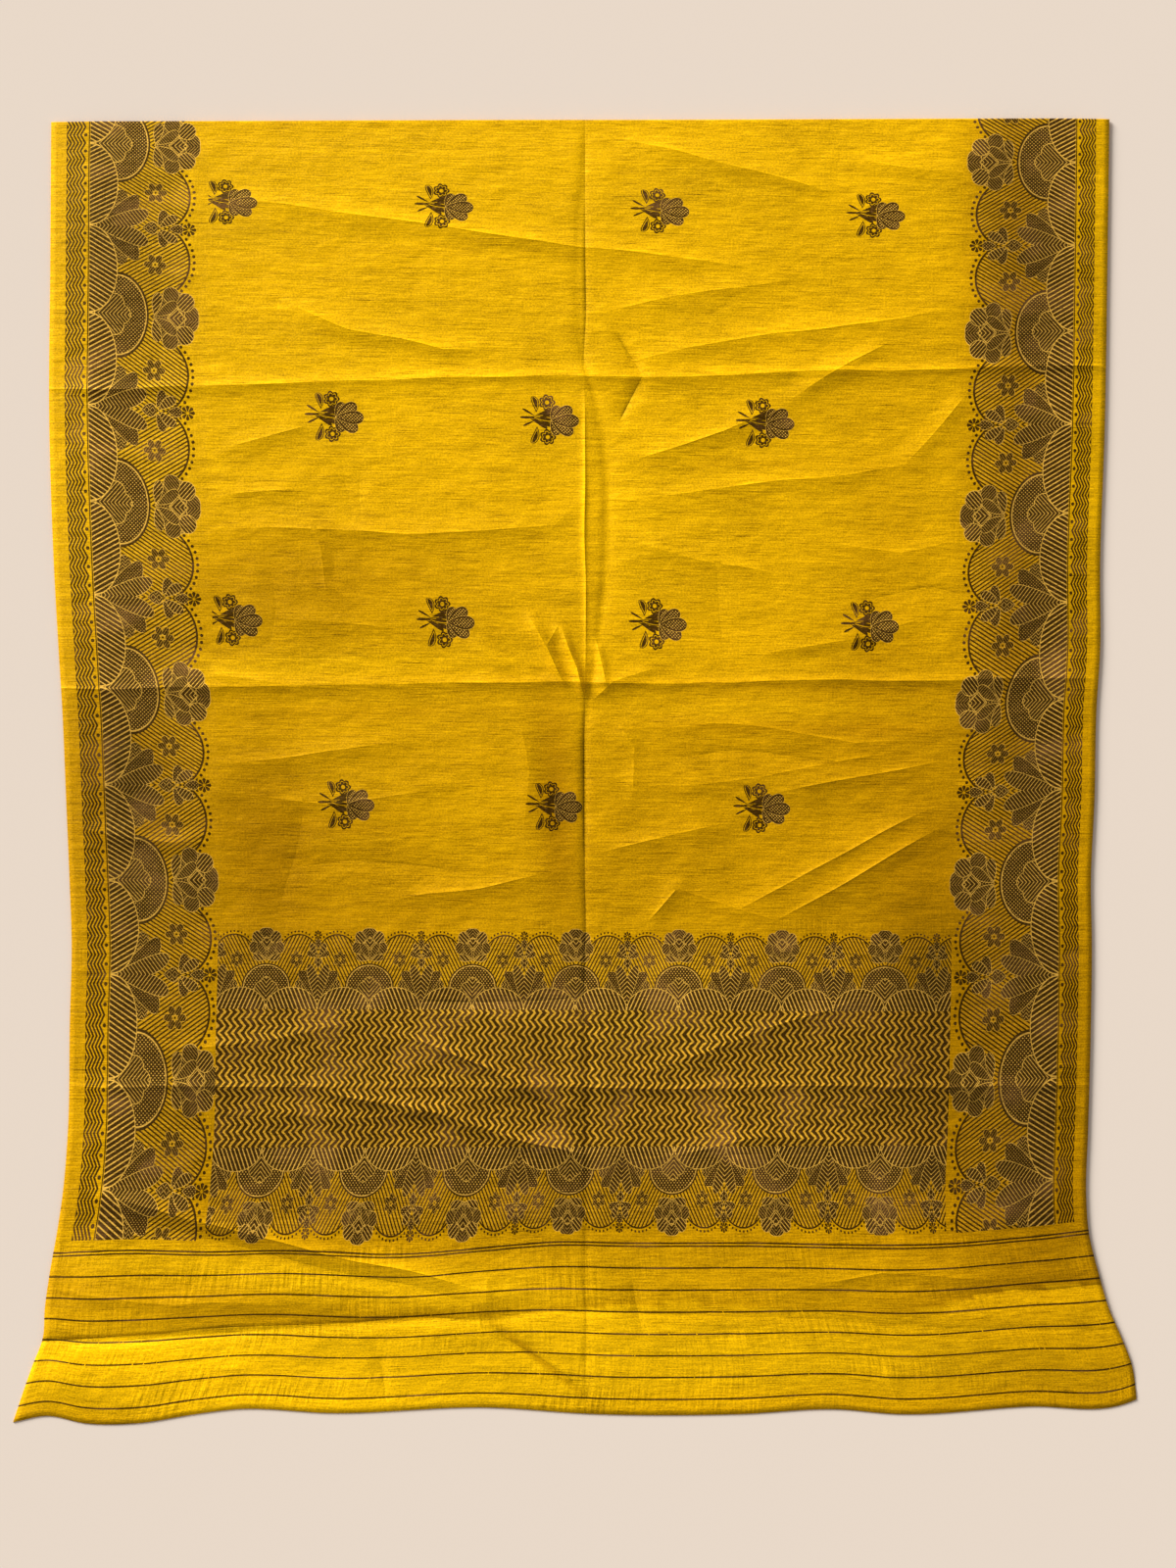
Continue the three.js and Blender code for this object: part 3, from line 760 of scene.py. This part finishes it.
def folded_sheet():
    """The hidden length, folded zig-zag in three layers, from the back fold to its plain end."""
    across, shares = (np.linspace(0, 1, count) for count in LAYER_POINTS)
    front, back = fold_line(FRONT_FOLD, across), fold_line(BACK_FOLD, across)
    waver = 1.2 * rough(across * 900, across * 0, 70, 31)
    # Each layer runs from one of these lines to the next
    lines = [
        back - BACK_INSETS[0],
        front + FRONT_INSETS[0] + waver,
        back - BACK_INSETS[1] + waver,
        front + FRONT_INSETS[1],
    ]
    middle, along = [], []
    walked = HIDDEN_START
    for number, height in enumerate(LAYER_HEIGHTS):
        first, last = lines[number], lines[number + 1]
        inset, before = LAYER_SIDES[number], LAYER_SIDES[max(number - 1, 0)]
        for share in shares:
            y = first + (last - first) * share
            blend = inset + (before - inset) * (1 - ease(share * 12))
            left = left_edge(y) + blend + edge_waver(y, number)
            right = right_edge(y) - blend + edge_waver(y, number + 5)
            x = left + (right - left) * across
            nested = LAYER_UNEVEN[number] * rough(x, y, 80, 41)
            soft = ease(np.minimum(share, 1 - share) * 30)
            sunk = settled(x, y) / LAYER_HEIGHTS[0]
            middle.append((x, y, height * (1 - sunk) + nested * soft))
            along.append(walked)
            walked -= abs(last.mean() - first.mean()) / (len(shares) - 1)
        if number == len(LAYER_HEIGHTS) - 1:
            break
        # The turn down to the next layer
        half = (height - LAYER_HEIGHTS[number + 1]) / 2
        facing = -1 if number == 0 else 1
        for angle in np.radians(LAYER_TURN):
            z = (height - half) * (1 - sunk) + half * math.sin(angle)
            middle.append((x, last + facing * half * math.cos(angle), z))
            along.append(walked)
            walked -= half * math.pi / 6
    middle = np.array(middle).swapaxes(1, 2)
    grid = np.zeros(middle.shape[:2])
    woven = packed(grid + across * CLOTH_WIDTH, grid + np.array(along)[:, None])
    # The hidden cloth carries an even painted shade
    wall, tone = grid + CLOTH_THICKNESS, grid + HIDDEN_PAINTED_SHADE
    return sheet_mesh("folded_cloth", middle, wall, woven, tone, HIDDEN_ROWS, False)


def operator(operation):
    """A method that works one operation out on a number and another value."""
    return lambda first, second: work_out(operation, first, second)


class Number:
    """A number at each point of the cloth, worked out by a material's nodes."""

    def __init__(self, tree, socket):
        self.tree, self.socket = tree, socket

    def __abs__(self):
        return work_out("ABSOLUTE", self)

    def __rsub__(self, other):
        return work_out("SUBTRACT", other, self)

    __add__ = __radd__ = operator("ADD")
    __mul__ = __rmul__ = operator("MULTIPLY")
    __sub__ = operator("SUBTRACT")
    __gt__ = operator("GREATER_THAN")
    __lt__ = operator("LESS_THAN")


def feed(tree, socket, value):
    """Sets a socket, or links it where the value comes from a node."""
    value = getattr(value, "socket", value)
    if isinstance(value, bpy.types.NodeSocket):
        tree.links.new(value, socket)
    else:
        socket.default_value = value


def new_node(tree, kind, inputs, **settings):
    """The outputs of a new node, with its inputs by name or number."""
    node = tree.nodes.new("ShaderNode" + kind)
    for name, value in settings.items():
        setattr(node, name, value)
    for name, value in inputs.items():
        feed(tree, node.inputs[name], value)
    return node.outputs


def work_out(operation, *values):
    tree = next(value.tree for value in values if isinstance(value, Number))
    return Number(tree, new_node(tree, "Math", dict(enumerate(values)), operation=operation)[0])


def scaled(value, factor, offset):
    return work_out("MULTIPLY_ADD", value, factor, offset)


def larger(a, b):
    return work_out("MAXIMUM", a, b)


def smaller(a, b):
    return work_out("MINIMUM", a, b)


def mixed(a, b, share):
    return scaled(share, b - a, a)


def stripes(value, pitch, share, shift=0):
    """1 on each stripe and 0 between, where value grows by pitch from one stripe to the next."""
    return work_out("FRACT", scaled(value, 1 / pitch, shift)) < share


def folded(value, half):
    """Runs from 0 to half and back again, over and over."""
    return work_out("PINGPONG", value, half)


def length_of(x, y):
    return work_out("SQRT", scaled(x, x, y * y))


def polar(x, y, centre):
    """Distance and direction from a centre."""
    px, py = x - centre[0], y - centre[1]
    return length_of(px, py), work_out("ARCTAN2", py, px)


def noise(x, y, detail=1, roughness=0.5):
    place = new_node(x.tree, "CombineXYZ", {"X": x, "Y": y})[0]
    inputs = {"Vector": place, "Scale": 1, "Detail": detail, "Roughness": roughness}
    return Number(x.tree, new_node(x.tree, "TexNoise", inputs, noise_dimensions="2D")["Fac"])


class Canvas:
    """What the brown thread draws: ink is where it shows, rich where the thread between is tan."""

    def __init__(self, ink, rich):
        self.ink, self.rich = ink, rich

    def paint(self, inside, ink, rich=1):
        self.ink = mixed(self.ink, ink, inside)
        self.rich = larger(self.rich, inside * rich)

    def shape(self, depth, ink, rim=0.62):
        """A figure with a plain rim, where depth is the distance inside its outline."""
        self.paint(depth > 0, (depth > rim) * ink)

    def shapes(self, x, y, rows):
        """A row for each figure: leaf or oval, its measures and its ink, the lowest one first."""
        for kind, *measures, ink in rows:
            self.shape(kind(x, y, *measures), ink)


def leaf(x, y, root, tip, half, bow=0):
    """How far inside a leaf a point lies; bow bends its middle to the left of its direction."""
    dx, dy = tip[0] - root[0], tip[1] - root[1]
    size = math.hypot(dx, dy)
    ux, uy = dx / size, dy / size
    along = scaled(y, uy / size, scaled(x, ux / size, -(root[0] * ux + root[1] * uy) / size))
    aside = scaled(y, ux, scaled(x, -uy, root[0] * uy - root[1] * ux))
    rest = 1 - along
    if bow:
        aside = aside - along * rest * (4 * bow)
    width = along * work_out("SQRT", rest) * (2.6 * half)
    return width - abs(aside)


def oval(x, y, centre, radii):
    """How far inside an oval a point lies, by its shorter radius."""
    px = scaled(x, 1 / radii[0], -centre[0] / radii[0])
    py = scaled(y, 1 / radii[1], -centre[1] / radii[1])
    return scaled(length_of(px, py), -min(radii), min(radii))


def blossom(x, y, centre, radius, petals, depth):
    """How far inside a lobed flower a point lies, how far from its centre, and its lobes' wave."""
    reach, angle = polar(x, y, centre)
    wave = abs(work_out("COSINE", angle * (petals / 2)))
    return scaled(wave, radius * depth, radius * (1 - depth)) - reach, reach, wave


def hatched(across, along, slope, pitch, share, shift=0):
    """Slanting lines: slope is how far they fall across for each step along."""
    return stripes(scaled(along, slope, across), pitch, share, shift)


# Places in the border's repeat, from the selvedge, then from a fan's middle or the lens's own
SCALLOP = (115.1, 37.5)
SCALLOP_RADII = (39.3, 41)
SCALLOP_START = 130
GROUND_EDGE = 116
BEAD_RING = 44.5
BEAD_PITCH = 7.1
BEAD_START = 134
CORNER_FLOWER = (153.8, 0)
SMALL_FLOWER = (116.7, 42)
DOME_PLACE = 74.8
DOME_RADII = (35.6, 47.5)
LEAF_PLACE = 66
LENS = (45, 0)
LENS_RADII = (30.6, 50)
BROCADE_START = 44
BROCADE_TIP = 160
SELVEDGE_LINE = 44.2


def brocade(across, along, grain=1):
    """The border's motifs in a quarter of their repeat.

    across is the distance from the selvedge and along the distance from a dome's middle, folded
    at the fans' middle, both in millimetres. grain widens the hatching where the whole is reduced.
    """
    from_fan = HALF_REPEAT - along
    # Thin hatching inside the scalloped edge
    scallop = oval(across, from_fan, SCALLOP, SCALLOP_RADII)
    ground = larger(scallop > 0, across < GROUND_EDGE)
    canvas = Canvas(ground * hatched(along, across, -0.63, 4.5 * grain, 0.43), ground * 0.1)
    edge = (abs(scallop + 0.2) < 1.15) * (across > SCALLOP_START)
    canvas.ink = larger(canvas.ink, edge)
    beads(canvas, across, from_fan)
    fan(canvas, across, from_fan, grain)
    dome(canvas, across, along, grain)
    small_flower(canvas, across, from_fan, grain)
    peony(canvas, across, along, grain)
    return canvas


def beads(canvas, across, from_fan):
    """A string of beads outside the scallops, and a flower where two scallops meet."""
    reach, angle = polar(across, from_fan, SCALLOP)
    turns = scaled(angle, BEAD_RING / BEAD_PITCH, 0.5)
    aside = (work_out("FRACT", turns) - 0.5) * BEAD_PITCH
    bead = length_of(aside, reach - BEAD_RING) < 1.75
    canvas.ink = larger(canvas.ink, bead * (across > BEAD_START))
    depth, reach, wave = blossom(across, from_fan, CORNER_FLOWER, 7.8, 8, 0.22)
    canvas.paint(depth > -1.2, (depth > 0) * (wave > 0.35) * (reach > 1.6), 0)


def fan(canvas, across, from_fan, grain):
    """Three leaves on each side of the fan's middle, and the sprig past them."""
    pitch = 3.6 * grain
    rise, fall = across + from_fan, across - from_fan
    mesh = larger(stripes(rise, pitch, 0.68), stripes(fall, pitch, 0.68))
    bold = hatched(across, from_fan, 0.8, 4.4 * grain, 0.8)
    zigzag = hatched(from_fan, folded(across, 3.2), 1.2, 3.7 * grain, 0.8)
    root = (45, 0)
    leaves = [
        # root, tip, half width, bow, ink
        (leaf, root, (83, 43), 12, -8, zigzag),
        (leaf, root, (98, 36.5), 11, -7, mesh),
        (leaf, root, (109, 18.5), 9.5, -3.5, bold),
        (leaf, (102.5, 0), (119, 0), 7.6, 0, zigzag),
        (leaf, (119, 3), (127, 21.5), 5.6, -1.5, mesh),
        (leaf, (121, 0.5), (141, 14.5), 5.6, 1, bold),
        (leaf, (132, 0), (147.5, 0), 5.6, 0, mesh),
    ]
    canvas.shapes(across, from_fan, leaves)


def dome(canvas, across, along, grain):
    """The lens between two roots, and the latticed dome with a leaf at its root."""
    width, height = DOME_RADII
    reach = length_of(scaled(across, 1 / width, -DOME_PLACE / width), along * (1 / height))
    inside = larger(reach < 1, (across < 76) * (along < 50))
    pitch = 4.1 * grain
    lattice = larger(stripes(across + along, pitch, 0.6), stripes(across - along, pitch, 0.6))
    ring = (reach > 0.94) + (reach < 0.905) * lattice
    canvas.paint(inside, smaller(mixed(ring, lattice, across < DOME_PLACE), 1))
    reach, angle = polar(across, along, (LEAF_PLACE, 0))
    lobes = abs(work_out("COSINE", angle * 2.9))
    veins = hatched(across, along, -0.9, 4.2 * grain, 0.77)
    canvas.shape(scaled(lobes, 4.2, 20.6) - reach, veins, 0.9)
    lens = oval(across, along - HALF_REPEAT / 2, LENS, LENS_RADII)
    slant = hatched(along, across, 0.58, 5.4 * grain, 0.71)
    canvas.shape(lens * (across > BROCADE_START), slant, 0.9)


def small_flower(canvas, across, from_fan, grain):
    """Six petals on the hatched ground."""
    reach, angle = polar(across, from_fan, SMALL_FLOWER)
    turn = (work_out("FRACT", scaled(angle, 3 / math.pi, 0.5)) - 0.5) * (math.pi / 3)
    along, aside = (reach * work_out(part, turn) for part in ("COSINE", "SINE"))
    petal = oval(along, aside, (7.6, 0), (4.7, 3.5))
    lines = hatched(across, from_fan, 0.7, 2.9 * grain, 0.88)
    canvas.paint(reach < 2.6, reach < 1.2, 0)
    canvas.paint(petal > -0.5, (petal > 0) * lines, 0.5)


def peony(canvas, across, along, grain):
    """Layered petals at the dome's tip, the outer ones first, and a hatched diamond within."""
    fine = hatched(across, along, 0.9, 3.4 * grain, 0.88)
    cross = hatched(across, along, -0.9, 4.4 * grain, 0.78)
    heart = hatched(across, along, -1, 4.8 * grain, 0.8, 0.3)
    petals = [
        # centre and radii, or root, tip, half width and bow, then ink
        (oval, (139, 0), (23, 30), fine),
        (oval, (157.5, 3), (8, 11.5), fine),
        (oval, (150.5, 18), (10, 10.5), cross),
        (oval, (134.5, 25), (9.3, 9.3), fine),
        (leaf, (116, 1), (121, 27), 5.6, cross),
        (leaf, (117, 0.8), (141, 17.5), 6.2, -1, fine),
    ]
    canvas.shapes(across, along, petals)
    canvas.shape(scaled(along, -0.68, scaled(abs(across - 141), -0.75, 8.2)), heart, 0.9)


def wave_band(across, along):
    """Wavy lines beside the selvedge, with dots in their bays and a straight line past them."""
    bay = folded(along, 10)
    wavy = scaled(bay, 0.52, across)
    lines = stripes(wavy, 3.95, 0.62, -17.6 / 3.95) * (across > 17.6) * (wavy < 41)
    dot = length_of(across - 39, 10 - bay) < 2
    return larger(larger(lines, dot), abs(across - 43) < 0.65)


def border_pattern(across, along):
    edge = smaller(across, CLOTH_WIDTH - across)
    quarter = folded(along, HALF_REPEAT)
    canvas = brocade(edge, quarter)
    before_end = along < BROCADE_END
    inside = (edge > SELVEDGE_LINE) * before_end
    band = wave_band(edge, along) * (edge < SELVEDGE_LINE) * before_end
    canvas.ink = mixed(band, canvas.ink, inside)
    canvas.rich = canvas.rich * inside
    return canvas


def pallu_pattern(across, along):
    from_middle = abs(along - PALLU_MIDDLE)
    reduced = (BROCADE_TIP - BROCADE_START) / PALLU_BAND
    out = (from_middle - CHEVRON_HALF) * reduced + BROCADE_START
    repeat = folded(across - PALLU_DOME, PALLU_REPEAT / 2) * (2 * HALF_REPEAT / PALLU_REPEAT)
    canvas = brocade(out, repeat, 1.5)
    waver = noise(across * 0.12, along * 0.12) * 3
    zigzag = stripes(folded(along, 6.5) + across + waver, 7.3, 0.6)
    canvas.paint(out < BROCADE_START, zigzag)
    canvas.rich = mixed(canvas.rich, 0.4, out < BROCADE_START)
    width = (across > PALLU_LEFT) * (across < PALLU_RIGHT)
    canvas.ink = canvas.ink * width
    canvas.rich = canvas.rich * width
    return canvas


def bouquet_pattern(x, down):
    """A small bouquet that points right; x and down are distances from its middle."""
    y = down * -1
    canvas = Canvas(x * 0, x * 0)

    def stroke(root, tip, half, bow=0, rim=0):
        depth = leaf(x, y, root, tip, half, bow)
        ink = depth > 0
        if rim:
            ink = ink * (abs(depth - rim - 0.35) > 0.35)
        canvas.ink = larger(canvas.ink, ink)

    # Three bare stems, the stalk, then the leaves on both sides of it
    stroke((-17, 3.2), (-30.2, 10.8), 1.15)
    stroke((-15, 1.2), (-32.5, 1.2), 1.4)
    stroke((-17, -2), (-29.2, -7.9), 1.15)
    stroke((-24, 2), (5, -1.4), 3.2, 0, 0.9)
    stroke((-22, 0), (-3.5, -10.5), 2.2, 1)
    stroke((-16, 4), (1.5, 10), 2.3, -0.8)
    stroke((-12, 1.5), (2, 5), 1.8)
    stroke((-12, -3), (1.5, -7.5), 2.2)
    stroke((-15.5, 6.5), (-19.6, 24), 3.9, -1.8, 1.1)
    stroke((-14.5, -8), (-19.6, -26.5), 3.9, 1.8, 1.1)
    for centre in ((-4, 17.5), (-3, -19.5)):
        depth, reach, wave = blossom(x, y, centre, 8.8, 7, 0.24)
        canvas.ink = larger(canvas.ink, (depth > 0) * (reach > 2.2) * (abs(depth - 2.4) > 0.4))
    # The big flower's petals, the side ones first, and all of them flecked
    flecks = larger(stripes(x + y, 3.1, 0.6), stripes(x - y, 3.7, 0.5))
    petals = [
        # tip, half width
        ((8.5, 14), 5.4), ((8.5, -17), 5.4), ((22.5, 12), 6.8), ((23.5, -15.5), 6.8),
        ((30, -2), 7.4),
    ]
    for tip, half in petals:
        depth = leaf(x, y, (0, -1.5), tip, half)
        canvas.shape(depth, larger(flecks, abs(depth - 1.4) < 0.9), 0.3)
    return canvas


def end_pattern(across, along):
    """The double line past the brocade, and the single lines down to the hem."""
    past = along - DOUBLE_LINE
    double = larger(abs(past - 0.4) < 0.85, abs(past - 3.8) < 0.85)
    from_line = folded(past - END_FIRST_LINE, END_PITCH / 2)
    singles = (from_line < 0.9) * (past > END_FIRST_LINE - 5)
    broken = noise(across * 0.35, along * 0.05, 1) > 0.22
    return Canvas(larger(double, singles * broken), across * 0)


def node_colour(tree, first, second, share):
    """A colour between two, each a constant or a socket."""
    return new_node(tree, "Mix", {0: share, 6: first, 7: second}, data_type="RGBA")[2]


def places_on(tree, layer):
    """Both coordinates of a UV layer, in millimetres."""
    split = new_node(tree, "SeparateXYZ", {0: new_node(tree, "UVMap", {}, uv_map=layer)[0]})
    return Number(tree, split[0]) * (1 / MM), Number(tree, split[1]) * (1 / MM)


YELLOW = (0.82, 0.445, 0.0012, 1)
SHADE_AND_SLUB_YELLOW = (0.7, 0.3, 0, 1)
TAN = (0.95, 0.54, 0.1, 1)
BROWN = (0.032, 0.009, 0.001, 1)
# Painted highlight colour of the brown thread
PAINTED_GLINT = (0.28, 0.12, 0.045, 1)
FLOSS = 0.7
SHEEN = {
    "Specular IOR Level": 0.25,
    "Specular Tint": (1, 0.66, 0.04, 1),
    "Sheen Weight": 0.08,
    "Sheen Roughness": 0.4,
    "Sheen Tint": (1, 0.6, 0.02, 1),
}
ROUGHNESS = 0.5
CREST_WIDTH = 2.4
CRUMPLE = 1.6
THREAD_PITCH = 0.62
RIB_PITCH = 1.3

# Raw silk's uneven yarn: thin streaks along the weft, broad bands, faint warp lines and clouds
YARN = [
    # across, along, shift, detail, roughness, share in the tone
    (0.03, 0.6, 0, 2, 0.75, 0.85),
    (0.005, 0.12, 7.3, 3, 0.65, 0.4),
    (0.5, 0.6, 3.1, 1, 0.5, 0.85),
    (0.006, 0.012, 0, 2, 0.6, 0.36),
]
SLUB_TONE = -2.4
# Painted shade in the crease valleys and painted light on their crests
PAINTED_CREASE_SHADE = 0.17


def silk_tone(across, along):
    """The yarn's tone, its thin streaks and its slubs."""
    tone, uneven = 1, []
    for rate_across, rate_along, shift, detail, roughness, share in YARN:
        place = (across * rate_across, scaled(along, rate_along, shift))
        uneven.append(noise(*place, detail, roughness) - 0.5)
        tone = tone + uneven[-1] * share
    slub = larger(noise(scaled(across, 0.022, 11), scaled(along, 0.75, 5), 1) - 0.66, 0)
    return tone + slub * SLUB_TONE, uneven[0], slub


def crisp_lines(tree):
    """The thin crests of the folds and creases, finer than the mesh."""
    crests = []
    for layer in FOLD_LAYERS:
        away, rise = places_on(tree, layer)
        crests.append(rise * work_out("EXPONENT", abs(away) * (-1 / CREST_WIDTH)))
    return crests[0] + crests[1] + crests[2]


def ribbed(place, pitch):
    return abs(work_out("SINE", place * (math.pi / pitch)))


def woven_material(name, pattern, layer="Weave", pucker=0):
    """Raw silk with its woven pattern: colour, sheen and relief all follow the threads, and the
    colour also carries painted light and shade.
    """
    material = bpy.data.materials.new(name)
    material.use_nodes = True
    tree = material.node_tree
    across, along = places_on(tree, "Weave")
    tone, streaks, slub = silk_tone(across, along)
    lines = crisp_lines(tree)
    # The crease lines also paint shade into the colour in their valleys and light on their crests
    tone = tone + lines * PAINTED_CREASE_SHADE
    # Crumples too small for the mesh, and the weave itself
    weft = ribbed(along, THREAD_PITCH) * ribbed(across, THREAD_PITCH)
    height = streaks * 0.3 + slub * 0.9 + lines + weft * 0.06
    height = height + noise(across * 0.03, along * 0.05, 2, 0.6) * CRUMPLE
    if pucker:
        patchy = larger(noise(across * 0.008, scaled(along, 0.03, 4), 1) - 0.35, 0) * 4
        gathers = (noise(across * 0.22, along * 0.025, 2) - 0.5) * patchy * pucker
        # Painted light and shade along the gathers' relief
        tone = tone + gathers * 0.45
        height = height + gathers
    # The painted light and shade that the sheets carry on their points
    shade = Number(tree, new_node(tree, "Attribute", {}, attribute_name="PaintedShade")["Fac"])
    # The yellow deepens towards orange on the slubs and where the painted shade is darker
    depth = scaled(shade, -1.6, 1.7) + slub * 2 - streaks * 0.5
    colour = node_colour(tree, YELLOW, SHADE_AND_SLUB_YELLOW, smaller(larger(depth, 0), 0.8))
    roughness = ROUGHNESS
    if pattern:
        canvas = pattern(*((across, along) if layer == "Weave" else places_on(tree, layer)))
        ink = smaller(canvas.ink, 1)
        colour = node_colour(tree, colour, TAN, canvas.rich * FLOSS)
        # Painted highlights: flecks and patches where the brown thread is drawn lighter, as if it
        # caught the light
        painted_glint_patch = larger(noise(across * 0.016, along * 0.022, 1) - 0.55, 0) * 1.8
        painted_glint = larger(noise(across * 0.3, along * 0.5, 1) - 0.5, 0) + painted_glint_patch
        thread = node_colour(tree, BROWN, PAINTED_GLINT, smaller(painted_glint, 1))
        colour = node_colour(tree, colour, thread, ink * 0.97)
        height = height + ribbed(along, RIB_PITCH) * 0.12
        roughness = scaled(ink, -0.1, ROUGHNESS)
    # The colour scaled by the yarn's tone and by the painted light and shade
    lit = new_node(tree, "VectorMath", {0: colour, "Scale": tone * shade}, operation="SCALE")[0]
    bump = new_node(tree, "Bump", {"Strength": 1, "Distance": MM, "Height": height})[0]
    looks = {"Base Color": lit, "Roughness": roughness, "Normal": bump, **SHEEN}
    for socket, value in looks.items():
        feed(tree, tree.nodes["Principled BSDF"].inputs[socket], value)
    return material


def woven_materials():
    """In the order of the weave's parts: field, border, bouquet, brocade end and striped end."""
    return [
        woven_material("silk_field", None),
        woven_material("brocade_border", border_pattern, pucker=0.25),
        woven_material("woven_bouquet", bouquet_pattern, "Motif"),
        woven_material("brocade_end", pallu_pattern, pucker=0.35),
        woven_material("striped_end", end_pattern, pucker=0.8),
    ]


FLOOR_LOOKS = {"Base Color": (0.8, 0.68, 0.572, 1), "Roughness": 0.9, "Specular IOR Level": 0}
FLOOR_HALF = 6
KEY_STRENGTH = 5.45
KEY_SPREAD = 28
KEY_FROM = (-0.72, 0.74, 0.42)
AMBIENT = 0.362


def paper_floor():
    """Pale matt paper."""
    material = bpy.data.materials.new("floor")
    material.use_nodes = True
    for socket, value in FLOOR_LOOKS.items():
        material.node_tree.nodes["Principled BSDF"].inputs[socket].default_value = value
    mesh = bpy.data.meshes.new("floor")
    signs = ((-1, -1), (1, -1), (1, 1), (-1, 1))
    mesh.from_pydata([(FLOOR_HALF * x, FLOOR_HALF * y, 0) for x, y in signs], [], [(0, 1, 2, 3)])
    mesh.materials.append(material)
    floor = placed("floor", mesh)


def studio():
    scene = bpy.context.scene
    lens = bpy.data.cameras.new("camera")
    lens.sensor_width = SENSOR
    lens.lens = SENSOR * CAMERA_PLACE[2] / PICTURE_LONG_SIDE
    scene.camera = placed("camera", lens)
    scene.camera.location = CAMERA_PLACE

    sun = bpy.data.lights.new("key", "SUN")
    sun.energy = KEY_STRENGTH
    sun.angle = math.radians(KEY_SPREAD)
    x, y, z = KEY_FROM
    placed("key", sun).rotation_euler = (math.atan2(math.hypot(x, y), z), 0, math.atan2(x, -y))

    scene.world = bpy.data.worlds.new("world")
    scene.world.use_nodes = True
    background = scene.world.node_tree.nodes["Background"]
    background.inputs["Color"].default_value = (1, 1, 1, 1)
    background.inputs["Strength"].default_value = AMBIENT
    scene.view_settings.view_transform = "Standard"


paper_floor()
studio()

spread = spread_sheet()
weaves = woven_materials()
for material in weaves:
    spread.data.materials.append(material)
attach(spread, "root")
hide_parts("spread_stretch")

beneath = folded_sheet()
for material in weaves[: BOUQUET + 1]:
    beneath.data.materials.append(material)
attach(beneath, "root")
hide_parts("folded_layers")
